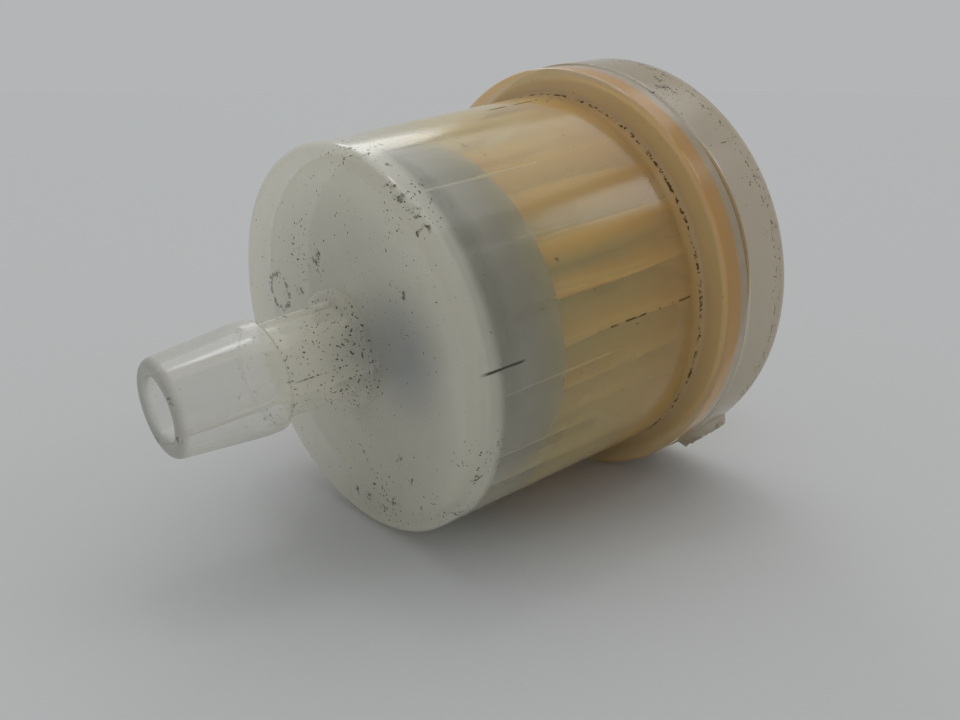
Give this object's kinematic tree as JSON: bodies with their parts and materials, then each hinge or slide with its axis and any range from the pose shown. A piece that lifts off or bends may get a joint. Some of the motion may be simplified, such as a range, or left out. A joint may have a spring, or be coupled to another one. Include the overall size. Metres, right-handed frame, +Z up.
{
  "type": "inline water filter",
  "caption": "Round inline filter in a translucent moulded housing: a pleated paper element between two hose barbs on one axis.",
  "frame": {"origin": "on the axis, in the middle of the inlet barb's widest ring", "axes": "+X along the axis from the inlet to the outlet, +Z up as the filter lies on its side"},
  "size_m": [0.0684, 0.0408, 0.0408],
  "materials": {
    "housing_plastic": "natural translucent moulded plastic",
    "lid_plastic": "milky translucent moulded plastic",
    "cap_plastic": "grey moulded plastic",
    "core_plastic": "natural moulded plastic",
    "filter_paper": "resin-treated cream paper",
    "seam_strip": "glued paper tape",
    "adhesive": "amber adhesive"
  },
  "bodies": {
    "root": {"inlet_housing": "housing_plastic", "outlet_cap": "lid_plastic", "joint_adhesive": "adhesive", "element_front_cap": "cap_plastic", "front_potting": "adhesive", "pleated_media": "filter_paper", "media_seam_strip": "seam_strip", "core_tube": "core_plastic", "rear_potting": "adhesive"}
  },
  "joints": []
}
